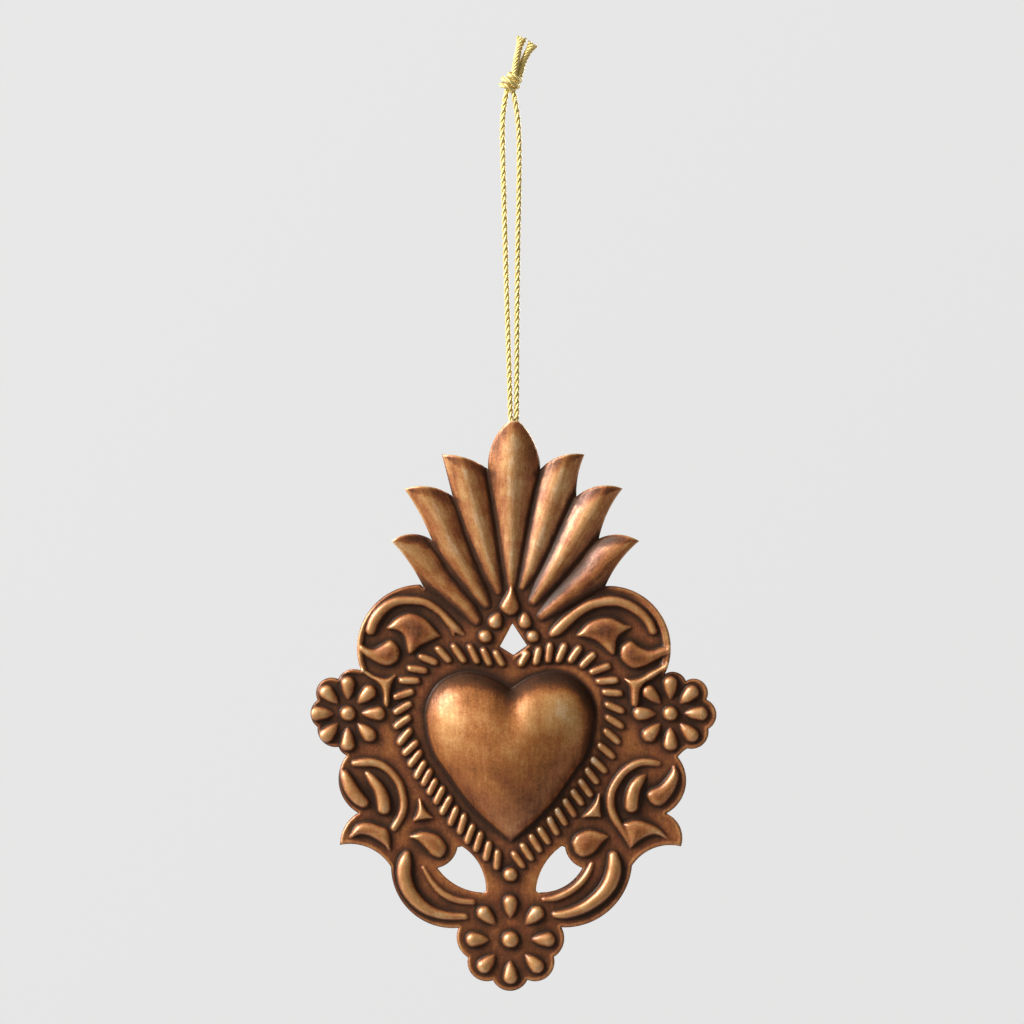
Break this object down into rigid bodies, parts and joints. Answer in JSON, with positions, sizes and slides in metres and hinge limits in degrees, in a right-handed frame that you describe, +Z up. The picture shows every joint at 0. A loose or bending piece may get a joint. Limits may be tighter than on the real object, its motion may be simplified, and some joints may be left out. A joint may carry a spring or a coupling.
{
  "type": "hojalata tin ornament",
  "caption": "Stamped copper-toned sacred-heart ornament with plume, scrolls, flowers and puffed heart, hung from a wire eye on a knotted gold cord loop.",
  "frame": {"origin": "the hang point, inside the top of the cord loop just under its knot, where the loop goes over a hook", "axes": "+Z up along the hanging cord, the stamped front faces -Y, +X to the viewer's right"},
  "size_m": [0.0812, 0.0077, 0.1906],
  "materials": {
    "antique_copper": "antiqued copper, worn bright on the high spots",
    "eye_wire": "dull copper wire",
    "solder": "dull grey",
    "gold_cord": "metallic gold twist"
  },
  "bodies": {
    "cord_loop": {"cord_left_leg": "gold_cord", "cord_right_leg": "gold_cord", "cord_knot": "gold_cord", "cord_left_tail": "gold_cord", "cord_right_tail": "gold_cord"},
    "cord_turn": {"cord_bight": "gold_cord"},
    "ornament": {"stamped_plate": "antique_copper", "hanging_eye": "eye_wire", "eye_solder": "solder"}
  },
  "joints": [
    {"name": "cord_twist", "type": "hinge", "parent": "cord_loop", "child": "cord_turn", "pos_m": [0.0005, 0, -0.062], "axis": [0, 0, 1], "range_deg": [-180, 180], "stiffness_Nm_per_rad": 0.0001},
    {"name": "plate_swing", "type": "hinge", "parent": "cord_turn", "child": "ornament", "pos_m": [0.0005, 0, -0.0685], "axis": [1, 0, 0], "range_deg": [-12, 150]}
  ]
}
